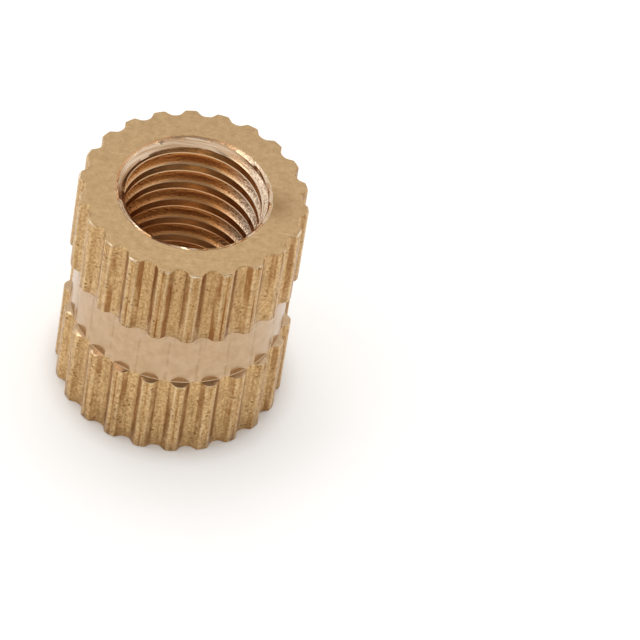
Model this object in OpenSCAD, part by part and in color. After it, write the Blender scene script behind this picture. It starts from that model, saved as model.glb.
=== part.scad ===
// Press-fit nut: a one-piece turned brass sleeve, threaded through.
// Two straight-knurled bands grip the wall of a moulded or drilled hole,
// and the plain groove between them keeps the nut from being pulled out.
// Origin at the centre of the lower end face, +Z along the bore.

/* [Sleeve] */
// Overall length, end face to end face
length = 8; // [6:0.1:12]
// Diameter over the tips of the knurl
tip_d = 7.2; // [6.9:0.05:9]
// Edge break turned on the tips at both ends
edge_break = 0.06; // [0.02:0.01:0.15]

/* [Bore] */
// Bore, at the crests of the M5 thread
bore_d = 4.3; // [3.2:0.05:4.6]
// Diameter of the countersink at each mouth
mouth_d = 4.75; // [4.65:0.05:5.6]
// Full angle of the countersink
mouth_angle = 90; // [60:5:120]

/* [Knurl] */
// Teeth round each band
teeth = 22; // [16:1:26]
// Height of a tooth, from the floor of a flute to the tip
tooth_h = 0.25; // [0.18:0.01:0.32]
// Width of the flat land on each tip
land_w = 0.28; // [0.1:0.01:0.34]
// Width of the floor of each flute
floor_w = 0.3; // [0.06:0.01:0.34]

/* [Groove] */
// Length of the lower knurled band
lower_band = 3; // [1:0.1:4]
// Width of the plain groove
groove_w = 2; // [0.5:0.1:2.8]
// Height of the groove's floor over the floors of the flutes
groove_over = 0.01; // [0.005:0.005:0.15]

/* [Hidden] */

// Facets of the turned faces
$fn = 180;
// Length of bar stock left past each end face
stock = 1;

tip_rad = tip_d / 2;
root_rad = tip_rad - tooth_h;
groove_rad = root_rad + groove_over;
half_pitch = 180 / teeth;
mouth_depth = (mouth_d - bore_d) / 2 / tan(mouth_angle / 2);

// Each flank runs from the edge of a floor to the edge of a land
floor_turn = half_pitch - atan(floor_w / 2 / root_rad);
floor_x = root_rad / cos(half_pitch - floor_turn) * cos(floor_turn);
floor_y = root_rad / cos(half_pitch - floor_turn) * sin(floor_turn);
land_x = sqrt(pow(tip_rad, 2) - pow(land_w / 2, 2));
// Before the outside is turned to size, the two flanks of a tooth meet in a peak
peak_rad = land_x + (land_x - floor_x) * land_w / 2 / (floor_y - land_w / 2);

// Half section of the sleeve as it comes off the lathe, bore and groove included
module turned_section() {
    polygon([
        [mouth_d / 2, 0],
        [tip_rad - edge_break, 0],
        [tip_rad, edge_break],
        [tip_rad, lower_band],
        [groove_rad, lower_band],
        [groove_rad, lower_band + groove_w],
        [tip_rad, lower_band + groove_w],
        [tip_rad, length - edge_break],
        [tip_rad - edge_break, length],
        [mouth_d / 2, length],
        [bore_d / 2, length - mouth_depth],
        [bore_d / 2, mouth_depth]
    ]);
}

// Cross section of the knurled bar: pointed teeth with straight flanks and a flat floor between each two
module knurl_section() {
    polygon([
        for (i = [0 : teeth - 1], side = [-1, 0, 1])
            let (turn = 2 * half_pitch * i)
            side == 0 ? peak_rad * [cos(turn), sin(turn)]
            : [floor_x * cos(turn) - side * floor_y * sin(turn), floor_x * sin(turn) + side * floor_y * cos(turn)]
    ]);
}

// The nut: the turned sleeve, left only where the knurled bar has metal
module knurled_insert() {
    color("#b3935f")
    intersection() {
        rotate_extrude() turned_section();
        translate([0, 0, -stock]) linear_extrude(length + 2 * stock) knurl_section();
    }
}

knurled_insert();
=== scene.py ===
import math

import bmesh
import bpy
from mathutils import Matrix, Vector, noise


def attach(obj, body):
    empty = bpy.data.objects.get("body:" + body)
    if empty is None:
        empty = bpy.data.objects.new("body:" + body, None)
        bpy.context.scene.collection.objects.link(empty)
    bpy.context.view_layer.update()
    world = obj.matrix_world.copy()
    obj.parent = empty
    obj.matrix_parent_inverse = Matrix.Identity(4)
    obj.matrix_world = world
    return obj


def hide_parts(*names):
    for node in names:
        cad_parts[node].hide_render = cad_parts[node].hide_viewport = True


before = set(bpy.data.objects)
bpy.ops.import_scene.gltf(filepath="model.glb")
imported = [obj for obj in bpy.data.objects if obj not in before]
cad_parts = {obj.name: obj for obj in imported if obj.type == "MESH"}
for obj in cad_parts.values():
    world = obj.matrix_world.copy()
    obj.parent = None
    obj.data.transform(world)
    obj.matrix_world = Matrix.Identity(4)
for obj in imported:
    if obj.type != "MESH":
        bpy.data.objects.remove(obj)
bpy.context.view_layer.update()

# Press-fit nut: one piece of free-cutting brass bar, rolled with a straight knurl, turned with
# a plain groove, faced at both ends, drilled, countersunk and tapped. The mesh is made in
# millimetres, knurl first, then thread and end faces, and is scaled to metres at the end.
LENGTH = 8.0
TIP_RAD = 3.6
TEETH = 22
TOOTH_H = 0.25
LAND_W = 0.28
FLOOR_W = 0.30
# depth of the seam along the lands, and rise of a flute's floor from its middle to its sides
SEAM = 0.012
FLOOR_RISE = 0.025
LAND_ROUND = 0.09
FLOOR_ROUND = 0.06
ROUND_STEPS = 4
BAND_TOP = 3.0
GROOVE_TOP = 5.0
GROOVE_OVER = 0.01
GROOVE_SLOPE = 0.1
EDGE_BREAK = 0.06
# rounding of the worn edges, and how far its middle lies from either side of the edge
WEAR = 0.02
WEAR_IN = 0.3 * WEAR
# unevenness of the edges of the end faces, and how many waves it has to the millimetre
RAGGED = 0.014
RAGGED_PER_MM = 4.0
# the painted brown shade on a flank, beside the darkening in a seam, and how far it stays from the flank's
# foot and head
FLANK_SHADE = 0.75
SHADE_FOOT = 0.06
SHADE_HEAD = 0.055
# painted glint on the edges of the lands, beside that of a worn edge
LAND_SHINE = 0.3
ROOT_RAD = TIP_RAD - TOOTH_H
GROOVE_RAD = ROOT_RAD + GROOVE_OVER

bm = bmesh.new()
# outline of the knurled bar, kept on each vertex: its radius, and 1 on the edges of the lands
outline_r = bm.verts.layers.float.new("outline_r")
outline_edge = bm.verts.layers.float.new("outline_edge")
# how dark a seam is and where the flanks take a painted brown shade, which flanks take a painted pale sheen,
# and where an edge is worn and carries a painted glint
dark_seam_and_flank_shade = bm.verts.layers.float.new("dark_seam_and_flank_shade")
sheen_flank = bm.verts.layers.float.new("sheen_flank")
wear_and_glint = bm.verts.layers.float.new("wear_and_glint")
# 1 along the middle of the flutes, which show as hairlines across the groove
trace = bm.verts.layers.float.new("trace")


def only(geom, kind):
    return [g for g in geom if isinstance(g, kind)]


# Half a tooth: a faint seam where the rolled metal met along the tip, the rounded edge of
# the land, a steep flank and half the floor, which falls a little to its middle
half_pitch = math.pi / TEETH
wire = []
for r, turn in ((TIP_RAD - SEAM, 0.0), (TIP_RAD, LAND_W / 2 / TIP_RAD),
                (ROOT_RAD + FLOOR_RISE, half_pitch - FLOOR_W / 2 / ROOT_RAD), (ROOT_RAD, half_pitch)):
    wire.append(bm.verts.new((r * math.cos(turn), r * math.sin(turn), 0)))
for pair in zip(wire, wire[1:]):
    bm.edges.new(pair)
wire[0][dark_seam_and_flank_shade] = 1.0
wire[3][trace] = 1.0
for corner, size in ((wire[1], LAND_ROUND), (wire[2], FLOOR_ROUND)):
    bmesh.ops.bevel(bm, geom=[corner], offset=size, offset_type="OFFSET", segments=ROUND_STEPS,
                    profile=0.5, affect="VERTICES", material=-1)
for v in bm.verts:
    # the middle of the rounding is the edge of the land
    if abs(v.co.y - LAND_W / 2) < LAND_ROUND / 5:
        v[outline_edge] = 1.0
    # the flanks between foot and head take the painted brown shade
    if ROOT_RAD + SHADE_FOOT < v.co.xy.length < TIP_RAD - SHADE_HEAD:
        v[dark_seam_and_flank_shade] = FLANK_SHADE

# The other half, and all the teeth round the bar
bmesh.ops.mirror(bm, geom=bm.verts[:] + bm.edges[:], axis="Y", merge_dist=0)
# the flanks on one side of each tooth may take a painted pale sheen
for v in bm.verts:
    if v.co.y < 0 and v[dark_seam_and_flank_shade] == FLANK_SHADE:
        v[sheen_flank] = 1.0
bmesh.ops.spin(bm, geom=bm.verts[:] + bm.edges[:], axis=(0, 0, 1), angle=2 * math.pi, steps=TEETH,
               use_duplicate=True)
bmesh.ops.remove_doubles(bm, verts=bm.verts, dist=0.001)
for v in bm.verts:
    v[outline_r] = v.co.xy.length


def slope_at(r):
    # the form tool leaves the sides of the groove a little sloped
    return GROOVE_SLOPE * max(0.0, r - GROOVE_RAD)


def turn_to(verts, z, limit, inset, shine, ragged):
    # brings a ring of the outline to the height z, turned down to the limit
    for v in verts:
        v.co.z = z
        in_groove = BAND_TOP <= z <= GROOVE_TOP and v[outline_r] < GROOVE_RAD + WEAR
        r = min(v[outline_r] - (0.0 if in_groove else inset), limit)
        # only the upper half of a tooth takes the painted glint, and the edges of its land
        height = (v[outline_r] - ROOT_RAD) / TOOTH_H
        edge = LAND_SHINE * v[outline_edge] if v[outline_r] - inset <= limit + WEAR else 0.0
        v[wear_and_glint] = max(shine * max(0.0, 2 * height - 1), edge)
        if ragged:
            r -= ragged * (0.5 + noise.noise(v.co * RAGGED_PER_MM))
        v.co.xy = v.co.xy.normalized() * r
        if BAND_TOP - WEAR <= z <= BAND_TOP:
            v.co.z = z - slope_at(r)
        elif GROOVE_TOP <= z <= GROOVE_TOP + WEAR:
            v.co.z = z + slope_at(r)


def ring(edges, z, limit=TIP_RAD, inset=0.0, shine=0.0, ragged=0.0):
    # draws the wall on from a ring of edges to a new ring, and gives the edges of that
    out = bmesh.ops.extrude_edge_only(bm, edges=edges)["geom"]
    verts = set(only(out, bmesh.types.BMVert))
    turn_to(verts, z, limit, inset, shine, ragged)
    return [e for e in only(out, bmesh.types.BMEdge) if e.verts[0] in verts and e.verts[1] in verts]


def between(low, high, spans):
    return [low + (high - low) * i / spans for i in range(1, spans)]


# From the lower end face up: lower band, groove, upper band, each edge a little worn; a ring given a shine
# carries a painted glint
BAND_SPANS = 5
GROOVE_SPANS = 3
tip_in = TIP_RAD - EDGE_BREAK
low_edges = edges = bm.edges[:]
turn_to(bm.verts, 0.0, tip_in, WEAR, shine=0.0, ragged=RAGGED)
edges = ring(edges, WEAR_IN, tip_in + WEAR - WEAR_IN, WEAR_IN, shine=1.0, ragged=RAGGED)
edges = ring(edges, WEAR, tip_in + WEAR)
edges = ring(edges, EDGE_BREAK)
for z in between(0.0, BAND_TOP, BAND_SPANS) + [BAND_TOP - WEAR]:
    edges = ring(edges, z)
edges = ring(edges, BAND_TOP - WEAR_IN, TIP_RAD - WEAR_IN, WEAR_IN, shine=0.8)
edges = ring(edges, BAND_TOP, TIP_RAD - WEAR, WEAR)
edges = ring(edges, BAND_TOP, GROOVE_RAD + WEAR, WEAR)
edges = ring(edges, BAND_TOP + WEAR, GROOVE_RAD)
for z in between(BAND_TOP, GROOVE_TOP, GROOVE_SPANS) + [GROOVE_TOP - WEAR]:
    edges = ring(edges, z, GROOVE_RAD)
edges = ring(edges, GROOVE_TOP, GROOVE_RAD + WEAR, WEAR)
edges = ring(edges, GROOVE_TOP, TIP_RAD - WEAR, WEAR)
edges = ring(edges, GROOVE_TOP + WEAR_IN, TIP_RAD - WEAR_IN, WEAR_IN)
for z in [GROOVE_TOP + WEAR] + between(GROOVE_TOP, LENGTH, BAND_SPANS) + [LENGTH - EDGE_BREAK]:
    edges = ring(edges, z)
edges = ring(edges, LENGTH - WEAR, tip_in + WEAR, shine=1.0)
edges = ring(edges, LENGTH - WEAR_IN, tip_in + WEAR - WEAR_IN, WEAR_IN, shine=1.0, ragged=RAGGED)
top_edges = ring(edges, LENGTH, tip_in, WEAR, ragged=RAGGED)

# The thread: one pitch of the M5 section, screwed up through the bore and cut off at the faces.
# The tap has left a fine bead along the upper edge of each crest and a fuller one along the lower.
PITCH = 0.8
CREST_RAD = 2.15
THREAD_ROOT = 2.46
CREST_W = 0.31
ROOT_W = 0.14
ROOT_FLAT = 0.3 * ROOT_W
# width of a bead, and how far in from its edge the crest is still plain
BEAD_W = 0.036
BEAD_FOOT = 1.6 * BEAD_W
UPPER_BEAD = 0.006
LOWER_BEAD = 0.018
# painted glint along each bead
BEAD_SHINE = 0.5
# points down a flank, as shares of its height
FLANK_SHARES = (0.04, 0.1, 0.35, 0.65, 0.9)
# a crest passes the far side of the bore this high
FAR_SIDE = math.radians(90.65)
FAR_CREST = LENGTH - 0.34
TURN_STEPS = 176
# turns past each face, which are cut off
SPARE_TURNS = 1.5
flank = (PITCH - CREST_W - ROOT_W) / 2
section = []
for bead, foot, way in ((UPPER_BEAD, 0.0, 1), (LOWER_BEAD, PITCH, -1)):
    # radius, height and painted glint, from the middle of a crest over its bead and down a flank to the root
    half = [(CREST_RAD, CREST_W / 2 - inward, 0.0) for inward in (CREST_W / 2, BEAD_FOOT, BEAD_W)]
    half += [(CREST_RAD - bead, CREST_W / 2 - BEAD_W / 2, BEAD_SHINE), (CREST_RAD, CREST_W / 2, BEAD_SHINE)]
    for share in FLANK_SHARES:
        half.append((CREST_RAD + (THREAD_ROOT - CREST_RAD) * share, CREST_W / 2 + flank * share, 0.0))
    half.append((THREAD_ROOT, PITCH / 2 - ROOT_FLAT, 0.0))
    section += [(r, foot + way * z, shine) for r, z, shine in half[::way]]
start = FAR_CREST - PITCH * math.ceil(FAR_CREST / PITCH + SPARE_TURNS)
bore = bmesh.new()
bore_wear_and_glint = bore.verts.layers.float.new("wear_and_glint")
wire = []
for r, z, shine in section:
    wire.append(bore.verts.new((r * math.cos(FAR_SIDE), r * math.sin(FAR_SIDE), start + z)))
    wire[-1][bore_wear_and_glint] = shine
wire_edges = [bore.edges.new(pair) for pair in zip(wire, wire[1:])]
bmesh.ops.spin(bore, geom=wire + wire_edges, axis=(0, 0, 1), dvec=(0, 0, PITCH / TURN_STEPS),
               angle=2 * math.pi, steps=TURN_STEPS)
one_turn = bore.verts[:] + bore.edges[:] + bore.faces[:]
for turn in range(1, math.ceil(LENGTH / PITCH + 2 * SPARE_TURNS) + 1):
    copy = bmesh.ops.duplicate(bore, geom=one_turn)["geom"]
    bmesh.ops.translate(bore, verts=only(copy, bmesh.types.BMVert), vec=(0, 0, PITCH * turn))
bmesh.ops.remove_doubles(bore, verts=bore.verts, dist=0.0005)
for z, up in ((0.0, -1), (LENGTH, 1)):
    bmesh.ops.bisect_plane(bore, geom=bore.verts[:] + bore.edges[:] + bore.faces[:], dist=0.0001,
                           plane_co=(0, 0, z), plane_no=(0, 0, up), clear_outer=True)

# Countersink at each mouth, with a ragged lip where it and the thread run out at the face
MOUTH_RAD = 2.375
LIP = 0.08
LIP_DROP = 0.65 * LIP
RUN_OUT = 0.2
RIM_RAGGED = 2 * RAGGED
RIM_PER_MM = 9.0
# painted glint along the ragged rim
RIM_SHINE = 0.4
rim_edges = [e for e in bore.edges if len(e.link_faces) == 1]
rim_verts = {v for e in rim_edges for v in e.verts}
for v in bore.verts:
    depth = max(0.0, min(v.co.z, LENGTH - v.co.z))
    cone = MOUTH_RAD - depth
    outside = v.co.xy.length - cone
    if outside < 0:
        v.co.xy = v.co.xy.normalized() * cone
        v[bore_wear_and_glint] = 0.0
    elif depth < RUN_OUT:
        # metal pushed over by the countersink fills the last groove of the thread
        v.co.xy = v.co.xy.normalized() * (cone + outside * (depth / RUN_OUT) ** 2)
for v in rim_verts:
    v.co.xy *= 1 + RIM_RAGGED * noise.noise(v.co * RIM_PER_MM) / MOUTH_RAD
    v[bore_wear_and_glint] = RIM_SHINE
lip = bmesh.ops.extrude_edge_only(bore, edges=rim_edges)["geom"]
for v in only(lip, bmesh.types.BMVert):
    v.co.xy *= 1 + LIP / v.co.xy.length
    v.co.z = LENGTH if v.co.z > LENGTH / 2 else 0.0
    v[bore_wear_and_glint] = 0.0
for v in rim_verts:
    v.co.z = LENGTH - LIP_DROP if v.co.z > LENGTH / 2 else LIP_DROP

# Bore and sleeve become one closed mesh, with an end face filled in round each mouth
mesh = bpy.data.meshes.new("brass_nut")
bore.to_mesh(mesh)
bore.free()
sleeve = set(bm.verts)
bm.from_mesh(mesh)
mouths = [e for e in bm.edges if len(e.link_faces) == 1 and e.verts[0] not in sleeve]
top_edges += [e for e in mouths if e.verts[0].co.z > LENGTH / 2]
low_edges += [e for e in mouths if e.verts[0].co.z < LENGTH / 2]
for face_edges, up in ((top_edges, 1), (low_edges, -1)):
    bmesh.ops.triangle_fill(bm, edges=face_edges, use_beauty=True, normal=(0, 0, up))
bmesh.ops.remove_doubles(bm, verts=bm.verts, dist=0.0008)
bmesh.ops.dissolve_degenerate(bm, edges=bm.edges, dist=0.0005)
bmesh.ops.recalc_face_normals(bm, faces=bm.faces)

# Each face takes the finish of the tool that made it: level ends, bore, groove, and the rest knurl
FACED, KNURLED, TURNED, TAPPED = range(4)
LEVEL = 0.999
NEAR = 0.001
BORE_ROOM = 0.05
for f in bm.faces:
    middle = f.calc_center_median()
    r = middle.xy.length
    f.smooth = True
    if abs(f.normal.z) > LEVEL and not NEAR < middle.z < LENGTH - NEAR:
        f.material_index = FACED
    elif r < THREAD_ROOT + BORE_ROOM:
        f.material_index = TAPPED
    elif BAND_TOP - slope_at(r) - NEAR <= middle.z <= GROOVE_TOP + slope_at(r) + NEAR:
        f.material_index = TURNED
    else:
        f.material_index = KNURLED
# normals run on over the worn edges, but not over an end face or a corner sharper than this
SHARP = math.radians(40)
for e in bm.edges:
    kinds = {f.material_index for f in e.link_faces}
    e.smooth = e.calc_face_angle() < SHARP and (FACED not in kinds or len(kinds) == 1)
MM = 0.001
bmesh.ops.scale(bm, vec=(MM, MM, MM), verts=bm.verts)
bm.to_mesh(mesh)
bm.free()
nut = bpy.data.objects.new("brass_nut", mesh)
bpy.context.scene.collection.objects.link(nut)


def linear(hex_colour):
    parts = [int(hex_colour[i:i + 2], 16) / 255 for i in (1, 3, 5)]
    return [c / 12.92 if c <= 0.04045 else ((c + 0.055) / 1.055) ** 2.4 for c in parts] + [1.0]


def add(tree, kind, inputs=None, **options):
    # adds a node with its options; an input is a value, another node or one of its outputs
    node = tree.nodes.new(kind)
    for name, value in options.items():
        setattr(node, name, value)
    for name, value in (inputs or {}).items():
        if isinstance(value, bpy.types.Node):
            value = next(out for out in value.outputs if out.enabled)
        if isinstance(value, bpy.types.NodeSocket):
            tree.links.new(value, node.inputs[name])
        else:
            node.inputs[name].default_value = value
    return node


def new_brass(name):
    # bare brass: a metal with the default IOR; patterns are laid on in millimetres
    material = bpy.data.materials.new(name)
    material.use_nodes = True
    mesh.materials.append(material)
    tree = material.node_tree
    shader = tree.nodes["Principled BSDF"]
    shader.inputs["Metallic"].default_value = 1.0
    place = add(tree, "ShaderNodeTexCoord")
    in_mm = add(tree, "ShaderNodeMapping", {"Vector": place.outputs["Object"],
                                            "Scale": (1 / MM, 1 / MM, 1 / MM)})
    return tree, shader, in_mm


# sockets of a colour mix
FACTOR, UNDER, OVER, MIXED = 0, 6, 7, 2


def show(tree, shader, colour, rough, bump):
    # the shader takes its colour, roughness and relief from these nodes
    tree.links.new(colour.outputs[MIXED], shader.inputs["Base Color"])
    tree.links.new(rough.outputs[0], shader.inputs["Roughness"])
    tree.links.new(bump.outputs[0], shader.inputs["Normal"])


# Faced brass: satin from a facing tool, with faint rings, a soft cloud here and there, a painted brown
# shade beside the mouth and hairline scratches from loose handling, drawn wide enough to show
CLOUD_W = 0.25
FEED = 0.1309
SCRATCH_L = 1.11
SCRATCH_W = 0.0625
MOUTH_SHADE_AT = (2.5, 0.0, LENGTH)
tree, shader, mm = new_brass("brass_faced")
cloud = add(tree, "ShaderNodeTexNoise", {"Vector": mm, "Scale": 1 / CLOUD_W, "Detail": 6.0, "Roughness": 0.8})
clouded = add(tree, "ShaderNodeMapRange", {"Value": cloud, "From Min": 0.3, "From Max": 0.7})
# a wave runs through 20 radians in each unit of its scale
rings = add(tree, "ShaderNodeTexWave", {"Vector": mm, "Scale": 2 * math.pi / 20 / FEED, "Distortion": 1.5,
                                        "Detail": 2.0}, wave_type="RINGS", rings_direction="Z")
slant = add(tree, "ShaderNodeMapping", {"Vector": mm, "Rotation": (0, 0, 0.6),
                                        "Scale": (1 / SCRATCH_L, 1 / SCRATCH_W, 1)})
hairs = add(tree, "ShaderNodeTexNoise", {"Vector": slant, "Scale": 1.0, "Detail": 2.0})
scratch = add(tree, "ShaderNodeMapRange", {"Value": hairs, "From Min": 0.66, "From Max": 0.74, "To Max": 0.4})
# painted shade: darker beside the mouth, at its right
reach = add(tree, "ShaderNodeVectorMath", {0: mm, 1: MOUTH_SHADE_AT}, operation="DISTANCE").outputs["Value"]
mouth_shade = add(tree, "ShaderNodeMapRange", {"Value": reach, "From Min": 0.85, "From Max": 0.1, "To Max": 0.6})
colour = add(tree, "ShaderNodeMix", {FACTOR: clouded, UNDER: linear("#bb9d76"), OVER: linear("#9c7f59")},
             data_type="RGBA")
for share, tone in ((mouth_shade, "#7d5f3d"), (scratch, "#d9bd95")):
    colour = add(tree, "ShaderNodeMix", {FACTOR: share, UNDER: colour, OVER: linear(tone)}, data_type="RGBA")
rough = add(tree, "ShaderNodeMapRange", {"Value": cloud, "From Min": 0.3, "From Max": 0.7,
                                         "To Min": 0.4, "To Max": 0.46})
relief = add(tree, "ShaderNodeMath", {0: rings.outputs["Fac"], 1: hairs}, operation="ADD")
bump = add(tree, "ShaderNodeBump", {"Height": relief, "Distance": 0.0009 * MM})
show(tree, shader, colour, rough, bump)

# Knurled brass: rolled under pressure, so mottled and pitted, with streaks along the teeth, a soft
# painted shade on the front, darker seams, a painted brown shade on the flanks, a painted pale sheen on
# the flanks at the left side, and painted glints on worn edges. Mottle and pits are coarser than the real
# ones, so that they show.
MOTTLE_W = 0.0909
STREAK_W = 0.125
STREAK_L = 1.25
PIT_GAP = 0.1667
PIT_GROUP = 0.4545
PATCH_W = 0.333
PATCH_L = 1.43
FRONT_SHADE_AT = (0.6, -3.5, 6.4)
tree, shader, mm = new_brass("brass_knurled")
worn_glint = add(tree, "ShaderNodeAttribute", attribute_name="wear_and_glint").outputs["Fac"]
dark_seam_and_shade = add(tree, "ShaderNodeAttribute", attribute_name="dark_seam_and_flank_shade").outputs["Fac"]
left_sheen = add(tree, "ShaderNodeAttribute", attribute_name="sheen_flank").outputs["Fac"]
across = add(tree, "ShaderNodeSeparateXYZ", {0: mm}).outputs["X"]
mottle = add(tree, "ShaderNodeTexNoise", {"Vector": mm, "Scale": 1 / MOTTLE_W, "Detail": 2.0,
                                          "Roughness": 0.6})
mottled = add(tree, "ShaderNodeMapRange", {"Value": mottle, "From Min": 0.37, "From Max": 0.65})
along = add(tree, "ShaderNodeMapping", {"Vector": mm, "Scale": (1 / STREAK_W, 1 / STREAK_W, 1 / STREAK_L)})
streak = add(tree, "ShaderNodeTexNoise", {"Vector": along, "Scale": 1.0, "Detail": 3.0, "Roughness": 0.6})
streaked = add(tree, "ShaderNodeMapRange", {"Value": streak, "From Min": 0.48, "From Max": 0.7,
                                            "To Max": 0.6})
pits = add(tree, "ShaderNodeTexVoronoi", {"Vector": mm, "Scale": 1 / PIT_GAP})
pit = add(tree, "ShaderNodeMapRange", {"Value": pits.outputs["Distance"], "From Min": 0.36, "From Max": 0.12})
group = add(tree, "ShaderNodeTexNoise", {"Vector": mm, "Scale": 1 / PIT_GROUP, "Detail": 1.0})
grouped = add(tree, "ShaderNodeMapRange", {"Value": group, "From Min": 0.43, "From Max": 0.6, "To Max": 0.82})
pit = add(tree, "ShaderNodeMath", {0: pit, 1: grouped}, operation="MULTIPLY")
patch = add(tree, "ShaderNodeMapping", {"Vector": mm, "Scale": (1 / PATCH_W, 1 / PATCH_W, 1 / PATCH_L)})
patch = add(tree, "ShaderNodeTexNoise", {"Vector": patch, "Scale": 1.0, "Detail": 2.0})
kept = add(tree, "ShaderNodeMapRange", {"Value": patch, "From Min": 0.34, "From Max": 0.6})
patchy = add(tree, "ShaderNodeMapRange", {"Value": patch, "From Min": 0.62, "From Max": 0.36, "To Min": 0.15})
# painted shade: darker on the front of the upper band
reach = add(tree, "ShaderNodeVectorMath", {0: mm, 1: FRONT_SHADE_AT}, operation="DISTANCE").outputs["Value"]
front_shade = add(tree, "ShaderNodeMapRange", {"Value": reach, "From Min": 3.4, "From Max": 0.8, "To Max": 0.34})
# the painted flank shade is heavier near the painted front shade and fades at the left side, where the flanks
# take a painted pale sheen
held = add(tree, "ShaderNodeMapRange", {"Value": reach, "From Min": 4.6, "From Max": 1.5,
                                        "To Min": 0.75, "To Max": 1.1})
faded = add(tree, "ShaderNodeMapRange", {"Value": across, "From Min": -3.3, "From Max": -2.0, "To Min": 0.2})
# darker seams, and the painted brown shade on the flanks
brown_seam_and_shade = dark_seam_and_shade
for share in (kept, held, faded):
    brown_seam_and_shade = add(tree, "ShaderNodeMath", {0: brown_seam_and_shade, 1: share}, operation="MULTIPLY")
# painted pale sheen on the flanks at the left side
at_side = add(tree, "ShaderNodeMapRange", {"Value": across, "From Min": -1.5, "From Max": -2.1,
                                           "To Max": 0.8})
for share in (at_side, patchy):
    left_sheen = add(tree, "ShaderNodeMath", {0: left_sheen, 1: share}, operation="MULTIPLY")
# painted glint along the worn edges, in patches
glint = add(tree, "ShaderNodeMath", {0: worn_glint, 1: patchy}, operation="MULTIPLY")
colour = add(tree, "ShaderNodeMix", {FACTOR: mottled, UNDER: linear("#dbb986"), OVER: linear("#b48d5e")},
             data_type="RGBA")
for share, tone in ((streaked, "#94703f"), (front_shade, "#93693a"), (pit, "#714d26"), (brown_seam_and_shade, "#854f18"),
                    (left_sheen, "#e0cbb0"), (glint, "#f8e6ca")):
    colour = add(tree, "ShaderNodeMix", {FACTOR: share, UNDER: colour, OVER: linear(tone)}, data_type="RGBA")
rough = add(tree, "ShaderNodeMapRange", {"Value": worn_glint, "To Min": 0.36, "To Max": 0.2})
bump = add(tree, "ShaderNodeBump", {"Height": mottle, "Distance": 0.004 * MM})
show(tree, shader, colour, rough, bump)

# Turned brass: cut bright in the groove by a form tool, with fine lines round the nut, drawn
# coarser than the real ones to show, faint hairlines where the flutes ran through, and painted glints along
# its edges
TURNED_LINE_L = 1.43
TURNED_LINE_W = 0.0714
HAZE_W = 0.2857
tree, shader, mm = new_brass("brass_turned")
worn_glint = add(tree, "ShaderNodeAttribute", attribute_name="wear_and_glint").outputs["Fac"]
crossed = add(tree, "ShaderNodeAttribute", attribute_name="trace").outputs["Fac"]
round_it = add(tree, "ShaderNodeMapping", {"Vector": mm, "Scale": (1 / TURNED_LINE_L, 1 / TURNED_LINE_L,
                                                                   1 / TURNED_LINE_W)})
lines = add(tree, "ShaderNodeTexNoise", {"Vector": round_it, "Scale": 1.0, "Detail": 3.0, "Roughness": 0.6})
haze = add(tree, "ShaderNodeTexNoise", {"Vector": mm, "Scale": 1 / HAZE_W, "Detail": 5.0, "Roughness": 0.65})
hazed = add(tree, "ShaderNodeMapRange", {"Value": haze, "From Min": 0.3, "From Max": 0.75})
hair = add(tree, "ShaderNodeMapRange", {"Value": crossed, "From Min": 0.35, "From Max": 1.0, "To Max": 0.34})
faint = add(tree, "ShaderNodeMapRange", {"Value": haze, "From Min": 0.38, "From Max": 0.56})
hair = add(tree, "ShaderNodeMath", {0: hair, 1: faint}, operation="MULTIPLY")
# painted glint along the worn edges
glint = add(tree, "ShaderNodeMath", {0: worn_glint, 1: 0.8}, operation="MULTIPLY")
colour = add(tree, "ShaderNodeMix", {FACTOR: hazed, UNDER: linear("#cbae8e"), OVER: linear("#bb9b76")},
             data_type="RGBA")
for share, tone in ((hair, "#8a6a42"), (glint, "#f0d8b2")):
    colour = add(tree, "ShaderNodeMix", {FACTOR: share, UNDER: colour, OVER: linear(tone)}, data_type="RGBA")
rough = add(tree, "ShaderNodeMapRange", {"Value": lines, "From Min": 0.3, "From Max": 0.7,
                                         "To Min": 0.16, "To Max": 0.26})
bump = add(tree, "ShaderNodeBump", {"Height": lines, "Distance": 0.0025 * MM})
show(tree, shader, colour, rough, bump)

# Tapped brass: bright, with fine lines along the thread, crumbs torn from the flanks, a painted brown
# shade on the flanks and deep in the bore, kept off the right side and the front, a painted paler sheen at
# the right, and painted glints along the beads on the crests. Lines and crumbs are coarser than the real
# ones, so that they show.
TAPPED_LINE_W = 0.0625
LINES_PER_RADIAN = 1.5
CRUMB_W = 0.0588
FLANK_START = 0.1
CONE = MOUTH_RAD - LENGTH / 2
tree, shader, mm = new_brass("brass_tapped")
worn_glint = add(tree, "ShaderNodeAttribute", attribute_name="wear_and_glint").outputs["Fac"]
spot = add(tree, "ShaderNodeSeparateXYZ", {0: mm})
across, back, up = (spot.outputs[axis] for axis in "XYZ")
# the angle round the bore, and the height above the thread's own rise at that angle
turned = add(tree, "ShaderNodeMath", {0: across, 1: back}, operation="ARCTAN2")
level = add(tree, "ShaderNodeMath", {0: turned, 1: PITCH / (2 * math.pi), 2: up}, operation="MULTIPLY_ADD")
helix = add(tree, "ShaderNodeCombineXYZ", {"X": turned, "Y": 0.0, "Z": level})
helix = add(tree, "ShaderNodeMapping", {"Vector": helix, "Scale": (LINES_PER_RADIAN, 1, 1 / TAPPED_LINE_W)})
lines = add(tree, "ShaderNodeTexNoise", {"Vector": helix, "Scale": 1.0, "Detail": 2.0, "Roughness": 0.6})
lined = add(tree, "ShaderNodeMapRange", {"Value": lines, "From Min": 0.36, "From Max": 0.62})
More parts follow.
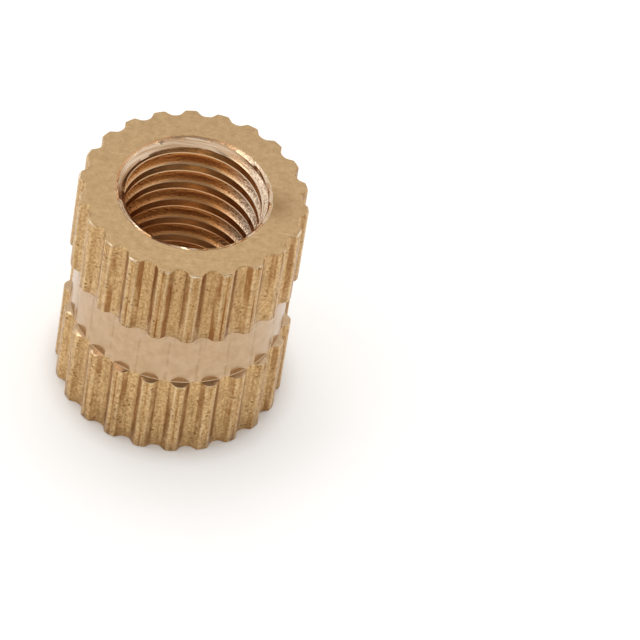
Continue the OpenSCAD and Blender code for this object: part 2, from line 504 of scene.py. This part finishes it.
# flanks lie outside the crests, and outside the cone of each countersink
flat = add(tree, "ShaderNodeMapping", {"Vector": mm, "Scale": (1, 1, 0)})
radius = add(tree, "ShaderNodeVectorMath", {0: flat}, operation="LENGTH").outputs["Value"]
on_flank = add(tree, "ShaderNodeMapRange", {"Value": radius, "From Min": CREST_RAD,
                                            "From Max": CREST_RAD + FLANK_START})
off_middle = add(tree, "ShaderNodeMath", {0: up, 1: LENGTH / 2}, operation="SUBTRACT")
off_middle = add(tree, "ShaderNodeMath", {0: off_middle}, operation="ABSOLUTE")
from_cone = add(tree, "ShaderNodeMath", {0: radius, 1: off_middle}, operation="SUBTRACT")
below_cone = add(tree, "ShaderNodeMapRange", {"Value": from_cone, "From Min": CONE + 0.02,
                                              "From Max": CONE + 0.12})
on_flank = add(tree, "ShaderNodeMath", {0: on_flank, 1: below_cone}, operation="MULTIPLY")
crumbs = add(tree, "ShaderNodeTexNoise", {"Vector": mm, "Scale": 1 / CRUMB_W, "Detail": 1.0,
                                          "Roughness": 0.5})
torn = add(tree, "ShaderNodeMapRange", {"Value": crumbs, "From Min": 0.52, "From Max": 0.72, "To Max": 0.7})
torn = add(tree, "ShaderNodeMath", {0: torn, 1: on_flank}, operation="MULTIPLY")
# painted shade on the flanks and darker deeper in the bore, kept off the right side and the front
deep_shade = add(tree, "ShaderNodeMapRange", {"Value": up, "From Min": 7.2, "From Max": 5.6, "To Max": 0.8})
bore_shade = add(tree, "ShaderNodeMath", {0: on_flank, 1: deep_shade}, operation="MAXIMUM")
not_right = add(tree, "ShaderNodeMapRange", {"Value": across, "From Min": 1.7, "From Max": 0.8})
not_front = add(tree, "ShaderNodeMapRange", {"Value": back, "From Min": -0.6, "From Max": 0.6})
for share in (not_right, not_front):
    bore_shade = add(tree, "ShaderNodeMath", {0: bore_shade, 1: share}, operation="MULTIPLY")
# painted glint along the beads and the rim
glint = add(tree, "ShaderNodeMath", {0: worn_glint, 1: 0.8}, operation="MULTIPLY")
cone = add(tree, "ShaderNodeMix", {FACTOR: lined, UNDER: linear("#e4caae"), OVER: linear("#c2a07c")},
           data_type="RGBA")
# painted sheen: the thread pales towards the right side
right_sheen = add(tree, "ShaderNodeMapRange", {"Value": across, "From Min": 0.9, "From Max": 1.8})
thread = add(tree, "ShaderNodeMix", {FACTOR: right_sheen, UNDER: linear("#dbb78b"), OVER: linear("#e8d0b6")},
             data_type="RGBA")
colour = add(tree, "ShaderNodeMix", {FACTOR: below_cone, UNDER: cone, OVER: thread}, data_type="RGBA")
for share, tone in ((bore_shade, "#d08a4c"), (torn, "#8f5f2e"), (glint, "#f2dcba")):
    colour = add(tree, "ShaderNodeMix", {FACTOR: share, UNDER: colour, OVER: linear(tone)}, data_type="RGBA")
rough = add(tree, "ShaderNodeMapRange", {"Value": lines, "From Min": 0.3, "From Max": 0.7,
                                         "To Min": 0.14, "To Max": 0.24})
torn_rough = add(tree, "ShaderNodeMapRange", {"Value": on_flank, "To Max": 0.12})
rough = add(tree, "ShaderNodeMath", {0: rough, 1: torn_rough}, operation="ADD")
# the crumbs stand higher at both sides of the bore
aside = add(tree, "ShaderNodeMath", {0: across}, operation="ABSOLUTE")
aside = add(tree, "ShaderNodeMapRange", {"Value": aside, "From Min": 0.4, "From Max": 1.3,
                                         "To Min": 1.0, "To Max": 4.5})
aside = add(tree, "ShaderNodeMath", {0: aside, 1: on_flank}, operation="MULTIPLY")
relief = add(tree, "ShaderNodeMath", {0: crumbs, 1: aside, 2: lines}, operation="MULTIPLY_ADD")
bump = add(tree, "ShaderNodeBump", {"Height": relief, "Distance": 0.008 * MM})
show(tree, shader, colour, rough, bump)

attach(nut, "root")
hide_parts("knurled_insert")

# Floor: a sheet of white paper under the nut, which keeps its shadow. Camera, glossy and
# transmitted rays see it a little lifted, so that it runs into the white behind, but not where
# the nut stands on it, so that the bore stays dark at its foot.
FLOOR_HALF = 0.6
DARK_RAD = 3.2 * MM
LIFTED_RAD = 4.2 * MM
floor_mesh = bpy.data.meshes.new("floor")
bm = bmesh.new()
bmesh.ops.create_grid(bm, x_segments=1, y_segments=1, size=FLOOR_HALF)
bm.to_mesh(floor_mesh)
bm.free()
floor = bpy.data.objects.new("floor", floor_mesh)
bpy.context.scene.collection.objects.link(floor)
sheet = bpy.data.materials.new("white_paper")
sheet.use_nodes = True
tree = sheet.node_tree
tree.nodes.clear()
place = add(tree, "ShaderNodeTexCoord")
off = add(tree, "ShaderNodeVectorMath", {0: place.outputs["Object"]}, operation="LENGTH").outputs["Value"]
paper = add(tree, "ShaderNodeBsdfDiffuse", {"Color": linear("#efeeec")})
lift = add(tree, "ShaderNodeMapRange", {"Value": off, "From Min": DARK_RAD, "From Max": LIFTED_RAD,
                                        "To Max": 0.2})
glow = add(tree, "ShaderNodeEmission", {"Color": linear("#ffffff"), "Strength": lift})
lifted = add(tree, "ShaderNodeAddShader", {0: paper, 1: glow})
ray = add(tree, "ShaderNodeLightPath")
seen = ray.outputs["Is Camera Ray"]
for kind in ("Is Glossy Ray", "Is Transmission Ray"):
    seen = add(tree, "ShaderNodeMath", {0: seen, 1: ray.outputs[kind]}, operation="MAXIMUM")
shown = add(tree, "ShaderNodeMixShader", {0: seen, 1: paper, 2: lifted})
add(tree, "ShaderNodeOutputMaterial", {"Surface": shown})
floor_mesh.materials.append(sheet)

# Light: a white tent with a dark gap high in front, wider than it is deep, and two soft boxes,
# behind and at the left, turned to the upper half of the nut
GAP_WIDEN = (0.6, 1, 1)
GAP_WAY = (0.12, -0.25, 0.96)
LIT_AT = Vector((0, 0, 0.006))
world = bpy.data.worlds.new("white_tent")
bpy.context.scene.world = world
world.use_nodes = True
tree = world.node_tree
tree.nodes.clear()
place = add(tree, "ShaderNodeTexCoord")
wide = add(tree, "ShaderNodeMapping", {"Vector": place.outputs["Generated"], "Scale": GAP_WIDEN})
wide = add(tree, "ShaderNodeVectorMath", {0: wide}, operation="NORMALIZE")
gap = add(tree, "ShaderNodeVectorMath", {0: wide, 1: GAP_WAY}, operation="DOT_PRODUCT")
level = add(tree, "ShaderNodeMapRange", {"Value": gap.outputs["Value"], "From Min": 0.92, "From Max": 0.965,
                                         "To Min": 0.92, "To Max": 0.38})
tent = add(tree, "ShaderNodeBackground", {"Strength": level, "Color": linear("#ffffff")})
add(tree, "ShaderNodeOutputWorld", {"Surface": tent})
for side, size, power, where in (("back", 0.07, 0.036, (-0.012, 0.036, 0.125)),
                                 ("left", 0.05, 0.011, (-0.068, -0.008, 0.117))):
    box = bpy.data.lights.new("soft_box_" + side, "AREA")
    box.shape = "SQUARE"
    box.size = size
    box.energy = power
    soft_box = bpy.data.objects.new("soft_box_" + side, box)
    soft_box.location = where
    soft_box.rotation_euler = (LIT_AT - soft_box.location).to_track_quat("-Z", "Y").to_euler()
    bpy.context.scene.collection.objects.link(soft_box)

# Camera: a long lens from the front, 46 degrees above the nut and rolled a little, with the nut
# at the left of the frame
CAMERA_AT = (0.001955, -0.172117, 0.185005)
CAMERA_TURN = (43.0349, -6.6188, 6.1937)
lens = bpy.data.cameras.new("camera")
lens.sensor_width = 36.0
lens.lens = 450.0
lens.clip_start = 0.01
lens.clip_end = 10.0
camera = bpy.data.objects.new("camera", lens)
camera.location = CAMERA_AT
camera.rotation_euler = [math.radians(angle) for angle in CAMERA_TURN]
bpy.context.scene.collection.objects.link(camera)
bpy.context.scene.camera = camera
bpy.context.scene.view_settings.view_transform = "Standard"
